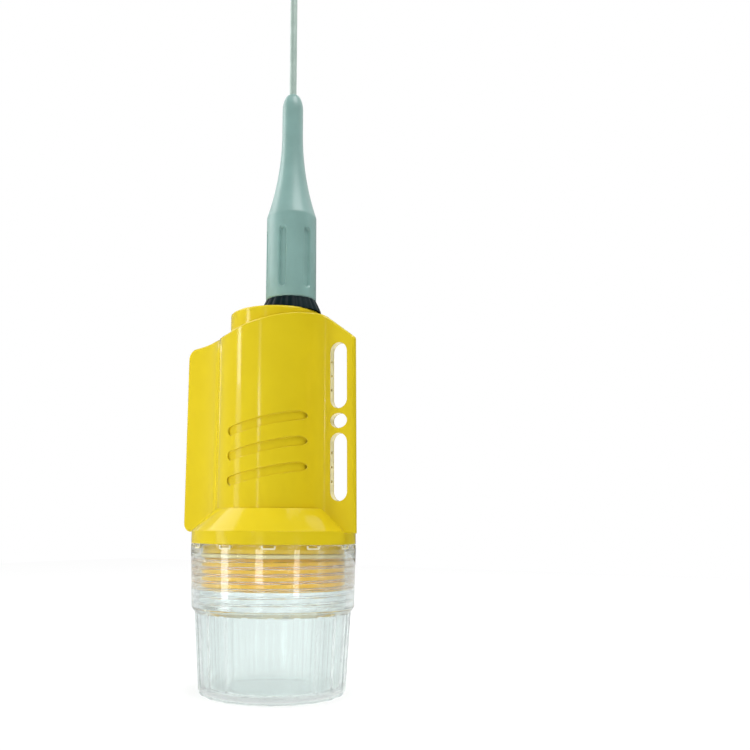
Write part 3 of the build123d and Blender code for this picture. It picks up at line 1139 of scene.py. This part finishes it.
def paper_floor():
    """White paper: matt and bright, lifted towards pure white for the eye, with the shadow kept."""
    material, tree, place = new_material("white_paper")
    distance = add_node(tree, "ShaderNodeVectorMath", {"operation": "LENGTH"}, {0: place})
    # Less glow close round and under the object: painted shade, added to its real shadow
    glow_with_painted_shade = add_node(
        tree, "ShaderNodeMapRange",
        {
            "From Min": floor_fade_start, "From Max": floor_fade_end,
            "To Min": floor_lift_under_painted_shade, "To Max": floor_lift_open,
        },
        {"Value": distance.outputs["Value"]},
    )
    seen = seen_directly(tree, "Is Camera Ray", "Is Transmission Ray", "Is Glossy Ray")
    share = add_node(
        tree, "ShaderNodeMath", {"operation": "MULTIPLY"}, {0: glow_with_painted_shade.outputs["Result"], 1: seen},
    )
    paper = add_node(tree, "ShaderNodeBsdfDiffuse", {"Color": (paper_white,) * 3})
    glow = add_node(tree, "ShaderNodeEmission", {"Color": (1, 1, 1), "Strength": paper_glow})
    mix = add_node(
        tree, "ShaderNodeMixShader", None,
        {"Fac": share.outputs["Value"], 1: paper.outputs["BSDF"], 2: glow.outputs["Emission"]},
    )
    return finished(material, mix.outputs["Shader"])


def white_room(level, drift):
    """The room: pure white behind the object, and an even light that is stronger from the left."""
    world = bpy.data.worlds.new("white_room")
    world.use_nodes = True
    tree = world.node_tree
    tree.nodes.clear()
    towards = add_node(tree, "ShaderNodeTexCoord").outputs["Generated"]
    leftwards = add_node(
        tree, "ShaderNodeVectorMath", {"operation": "DOT_PRODUCT", 1: bright_side}, {0: towards},
    )
    light = add_node(
        tree, "ShaderNodeMapRange",
        {"From Min": -1.0, "From Max": 1.0, "To Min": level - drift, "To Max": level + drift},
        {"Value": leftwards.outputs["Value"]},
    )
    seen = seen_directly(tree, "Is Camera Ray", "Is Transmission Ray")
    strength = add_node(
        tree, "ShaderNodeMix", {"B": 1.0}, {"Factor": seen, "A": light.outputs["Result"]},
    )
    sky = add_node(
        tree, "ShaderNodeBackground", {"Color": (1, 1, 1)},
        {"Strength": strength.outputs["Result"]},
    )
    add_node(tree, "ShaderNodeOutputWorld", None, {"Surface": sky.outputs["Background"]})
    return world


# Soft lamps: name, place, the point it faces, width, height (metres), brightness
soft_lamps = [
    ("left_wall", (-0.75, -0.04, 0.80), (0, 0, 0.24), 0.60, 0.62, 1.7),
    ("left_high_panel", (-0.380, -0.180, 0.500), (0.010, 0, 0.30), 0.260, 0.260, 2.3),
    ("overhead", (-0.05, -0.35, 1.15), (0, 0, 0.15), 0.50, 0.40, 1.0),
    ("right_overhead", (0.62, -0.23, 1.38), (0, 0, 0.16), 0.80, 0.70, 6.2),
    ("back_left", (-0.42, 0.78, 1.10), (0, 0, 0.18), 1.20, 1.00, 1.0),
    ("back_right", (0.58, 0.68, 1.10), (0, 0, 0.18), 1.20, 1.00, 1.0),
    ("left_strip_top", (-0.209, -0.251, 0.259), (-0.004, -0.032, 0.21), 0.044, 0.075, 12.0),
    ("left_strip_low", (-0.209, -0.251, 0.148), (-0.004, -0.032, 0.13), 0.070, 0.145, 2.5),
    ("left_back_strip", (-0.550, 0.270, 0.270), (-0.030, -0.020, 0.17), 0.050, 0.110, 3.0),
    ("front_strip_top", (0.048, -0.480, 0.300), (0.009, -0.031, 0.19), 0.030, 0.090, 3.5),
    ("front_strip", (0.048, -0.480, 0.224), (0.009, -0.031, 0.16), 0.030, 0.060, 12.0),
    ("front_strip_low", (0.048, -0.480, 0.140), (0.009, -0.031, 0.12), 0.030, 0.100, 4.0),
    ("band_left_strip", (-0.186, -0.294, 0.042), (-0.004, -0.047, 0.062), 0.066, 0.060, 6.0),
    ("band_front_strip", (0.128, -0.482, 0.036), (0.020, -0.043, 0.062), 0.084, 0.064, 6.0),
    ("band_right_strip", (0.352, -0.179, 0.038), (0.035, -0.031, 0.062), 0.050, 0.064, 5.5),
]


def soft_lamp(name, place, aim, width, height, brightness):
    """A rectangular lamp that faces a point of the object.

    The power of an area lamp is its brightness times its area times pi.
    """
    lamp = bpy.data.lights.new(name, "AREA")
    lamp.shape = "RECTANGLE"
    lamp.size, lamp.size_y, lamp.energy = width, height, brightness * width * height * pi
    holder = bpy.data.objects.new(name, lamp)
    bpy.context.collection.objects.link(holder)
    look = (Vector(aim) - Vector(place)).normalized()
    facing = look.to_track_quat("-Z", "Y").to_matrix().to_4x4()
    holder.matrix_world = Matrix.Translation(place) @ facing


class NETBEACON_OT_studio(bpy.types.Operator):
    """Set up the white floor, the even white room, the lamps and the camera"""

    bl_idname = "net_beacon.studio"
    bl_label = "Studio"

    def execute(self, context):
        studio = settings().studio
        scene = context.scene
        half = floor_size / 2
        corners = np.array([[(x, y, 0) for x in (half, -half)] for y in (-half, half)])
        floor = grid_piece("studio_floor", corners, close_columns=False)
        wear(floor, paper_floor())

        scene.world = white_room(studio.dome_level, studio.dome_drift)
        scene.view_settings.view_transform = "Standard"

        for *lamp, brightness in soft_lamps:
            soft_lamp(*lamp, brightness * studio.lamp_level)

        turn, pitch = studio.azimuth, studio.pitch
        ahead = Vector((-sin(turn) * cos(pitch), cos(turn) * cos(pitch), sin(pitch)))
        right = Vector((cos(turn), sin(turn), 0))
        up = right.cross(ahead)
        side = right * cos(studio.roll) + up * sin(studio.roll)
        head = up * cos(studio.roll) - right * sin(studio.roll)
        lens = bpy.data.cameras.new("studio_camera")
        lens.sensor_width, lens.lens, lens.shift_x = sensor_mm, studio.focal_length, studio.shift
        lens.clip_start, lens.clip_end = clip_near, clip_far
        camera = bpy.data.objects.new("studio_camera", lens)
        context.collection.objects.link(camera)
        camera.matrix_world = Matrix((
            (side.x, head.x, -ahead.x, studio.place[0]),
            (side.y, head.y, -ahead.y, studio.place[1]),
            (side.z, head.z, -ahead.z, studio.place[2]),
            (0, 0, 0, 1),
        ))
        scene.camera = camera
        return {"FINISHED"}


class NETBEACON_PT_panel(bpy.types.Panel):
    """Sidebar panel with the beacon's pieces in their order"""

    bl_label = "Net Beacon"
    bl_idname = "NETBEACON_PT_panel"
    bl_space_type = "VIEW_3D"
    bl_region_type = "UI"
    bl_category = "Net Beacon"

    def draw(self, context):
        for operator in piece_operators:
            self.layout.operator(operator.bl_idname)


piece_operators = (
    NETBEACON_OT_clear_cup,
    NETBEACON_OT_notch_edges,
    NETBEACON_OT_neck_thread,
    NETBEACON_OT_seal_ring,
    NETBEACON_OT_antenna_gasket,
    NETBEACON_OT_antenna_boot,
    NETBEACON_OT_whip,
    NETBEACON_OT_plate_screws,
    NETBEACON_OT_finishes,
    NETBEACON_OT_studio,
)
classes = (
    ClearCupSettings,
    ThreadSettings,
    ShellSettings,
    AntennaSettings,
    StudioSettings,
    SceneSettings,
    *piece_operators,
    NETBEACON_PT_panel,
)


def register():
    for item in classes:
        bpy.utils.register_class(item)
    bpy.types.Scene.net_beacon = bpy.props.PointerProperty(type=SceneSettings)


def unregister():
    del bpy.types.Scene.net_beacon
    for item in reversed(classes):
        bpy.utils.unregister_class(item)


def main():
    register()
    for operator in piece_operators:
        group, name = operator.bl_idname.split(".")
        getattr(getattr(bpy.ops, group), name)()


if __name__ == "__main__":
    main()
